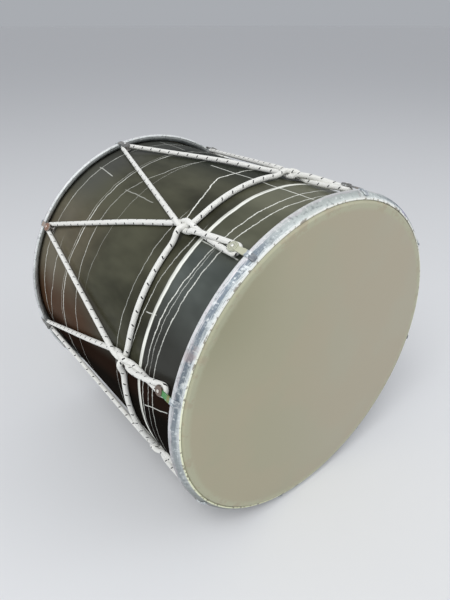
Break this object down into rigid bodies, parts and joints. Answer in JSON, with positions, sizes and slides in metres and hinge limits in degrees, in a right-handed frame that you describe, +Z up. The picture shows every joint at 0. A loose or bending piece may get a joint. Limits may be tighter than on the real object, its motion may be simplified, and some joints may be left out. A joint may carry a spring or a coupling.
{
  "type": "rope-laced drum",
  "caption": "Double-headed cylinder drum, lying on its hoops; a rope laced over flanged rollers on hooks tightens both heads, and a ring rope woven round the shell draws the lacing in.",
  "frame": {"origin": "on the floor, midway between the two hoops and under the drum's axis", "axes": "+Y along the drum's axis from the playing head to the rear head, +Z up, +X to the right seen from the playing head"},
  "size_m": [0.3746, 0.346, 0.374],
  "materials": {
    "dark_glossy_wrap": "thin plywood shell in a dark glossy wrap",
    "plywood": "bare plywood",
    "beige_film": "satin",
    "hoop_aluminium": "worn mill finish",
    "steel_wire": "drawn wire",
    "white_braided_rope": "braided polyester, white with black ticks",
    "cream_painted_strap": "cream paint, bare over the hoop",
    "green_painted_strap": "green paint, bare over the hoop",
    "grey_steel_strap": "dull grey",
    "copper_rivet": "worn copper-brown plating",
    "steel_roller": "worn"
  },
  "bodies": {
    "drum": {"front_bead_wire": "steel_wire", "front_head": "beige_film", "front_hook_1": "grey_steel_strap", "front_hook_2": "cream_painted_strap", "front_hook_3": "green_painted_strap", "front_hook_4": "grey_steel_strap", "front_hook_5": "grey_steel_strap", "front_hook_6": "grey_steel_strap", "front_hook_7": "grey_steel_strap", "front_hook_8": "grey_steel_strap", "front_hoop": "hoop_aluminium", "front_reinforcing_ring": "plywood", "front_rivet_1": "copper_rivet", "front_rivet_2": "copper_rivet", "front_rivet_3": "copper_rivet", "front_rivet_4": "copper_rivet", "front_rivet_5": "copper_rivet", "front_rivet_6": "copper_rivet", "front_rivet_7": "copper_rivet", "front_rivet_8": "copper_rivet", "lacing_rope": "white_braided_rope", "rear_bead_wire": "steel_wire", "rear_head": "beige_film", "rear_hook_1": "grey_steel_strap", "rear_hook_2": "grey_steel_strap", "rear_hook_3": "grey_steel_strap", "rear_hook_4": "grey_steel_strap", "rear_hook_5": "grey_steel_strap", "rear_hook_6": "grey_steel_strap", "rear_hook_7": "grey_steel_strap", "rear_hook_8": "grey_steel_strap", "rear_hoop": "hoop_aluminium", "rear_reinforcing_ring": "plywood", "rear_rivet_1": "copper_rivet", "rear_rivet_2": "copper_rivet", "rear_rivet_3": "copper_rivet", "rear_rivet_4": "copper_rivet", "rear_rivet_5": "copper_rivet", "rear_rivet_6": "copper_rivet", "rear_rivet_7": "copper_rivet", "rear_rivet_8": "copper_rivet", "ring_rope": "white_braided_rope", "shell": "dark_glossy_wrap"},
    "front_roller_1": {"front_roller_1": "steel_roller"},
    "front_roller_2": {"front_roller_2": "steel_roller"},
    "front_roller_3": {"front_roller_3": "steel_roller"},
    "front_roller_4": {"front_roller_4": "steel_roller"},
    "front_roller_5": {"front_roller_5": "steel_roller"},
    "front_roller_6": {"front_roller_6": "steel_roller"},
    "front_roller_7": {"front_roller_7": "steel_roller"},
    "front_roller_8": {"front_roller_8": "steel_roller"},
    "rear_roller_1": {"rear_roller_1": "steel_roller"},
    "rear_roller_2": {"rear_roller_2": "steel_roller"},
    "rear_roller_3": {"rear_roller_3": "steel_roller"},
    "rear_roller_4": {"rear_roller_4": "steel_roller"},
    "rear_roller_5": {"rear_roller_5": "steel_roller"},
    "rear_roller_6": {"rear_roller_6": "steel_roller"},
    "rear_roller_7": {"rear_roller_7": "steel_roller"},
    "rear_roller_8": {"rear_roller_8": "steel_roller"}
  },
  "joints": [
    {"name": "front_roller_1_spin", "type": "hinge", "parent": "drum", "child": "front_roller_1", "pos_m": [0.03941, -0.1448, 0.36566], "axis": [0.2147, 0, 0.9767], "continuous": true},
    {"name": "front_roller_2_spin", "type": "hinge", "parent": "drum", "child": "front_roller_2", "pos_m": [-0.09916, -0.1448, 0.34085], "axis": [-0.5402, 0, 0.8415], "continuous": true},
    {"name": "front_roller_3_spin", "type": "hinge", "parent": "drum", "child": "front_roller_3", "pos_m": [-0.17794, -0.1448, 0.23141], "axis": [-0.9694, 0, 0.2453], "continuous": true},
    {"name": "front_roller_4_spin", "type": "hinge", "parent": "drum", "child": "front_roller_4", "pos_m": [-0.15481, -0.1448, 0.08776], "axis": [-0.8434, 0, -0.5373], "continuous": true},
    {"name": "front_roller_5_spin", "type": "hinge", "parent": "drum", "child": "front_roller_5", "pos_m": [-0.04285, -0.1448, 0.0079], "axis": [-0.2334, 0, -0.9724], "continuous": true},
    {"name": "front_roller_6_spin", "type": "hinge", "parent": "drum", "child": "front_roller_6", "pos_m": [0.09835, -0.1448, 0.03141], "axis": [0.5358, 0, -0.8443], "continuous": true},
    {"name": "front_roller_7_spin", "type": "hinge", "parent": "drum", "child": "front_roller_7", "pos_m": [0.17885, -0.1448, 0.14509], "axis": [0.9744, 0, -0.225], "continuous": true},
    {"name": "front_roller_8_spin", "type": "hinge", "parent": "drum", "child": "front_roller_8", "pos_m": [0.15481, -0.1448, 0.28501], "axis": [0.8434, 0, 0.5373], "continuous": true},
    {"name": "rear_roller_1_spin", "type": "hinge", "parent": "drum", "child": "rear_roller_1", "pos_m": [0.10078, 0.1448, 0.3398], "axis": [0.549, 0, 0.8358], "continuous": true},
    {"name": "rear_roller_2_spin", "type": "hinge", "parent": "drum", "child": "rear_roller_2", "pos_m": [-0.03973, 0.1448, 0.36559], "axis": [-0.2164, 0, 0.9763], "continuous": true},
    {"name": "rear_roller_3_spin", "type": "hinge", "parent": "drum", "child": "rear_roller_3", "pos_m": [-0.15515, 0.1448, 0.28447], "axis": [-0.8453, 0, 0.5344], "continuous": true},
    {"name": "rear_roller_4_spin", "type": "hinge", "parent": "drum", "child": "rear_roller_4", "pos_m": [-0.1803, 0.1448, 0.15199], "axis": [-0.9823, 0, -0.1874], "continuous": true},
    {"name": "rear_roller_5_spin", "type": "hinge", "parent": "drum", "child": "rear_roller_5", "pos_m": [-0.09754, 0.1448, 0.03089], "axis": [-0.5314, 0, -0.8471], "continuous": true},
    {"name": "rear_roller_6_spin", "type": "hinge", "parent": "drum", "child": "rear_roller_6", "pos_m": [0.04129, 0.1448, 0.00754], "axis": [0.225, 0, -0.9744], "continuous": true},
    {"name": "rear_roller_7_spin", "type": "hinge", "parent": "drum", "child": "rear_roller_7", "pos_m": [0.15532, 0.1448, 0.08857], "axis": [0.8462, 0, -0.5329], "continuous": true},
    {"name": "rear_roller_8_spin", "type": "hinge", "parent": "drum", "child": "rear_roller_8", "pos_m": [0.17961, 0.1448, 0.22423], "axis": [0.9785, 0, 0.2062], "continuous": true}
  ]
}
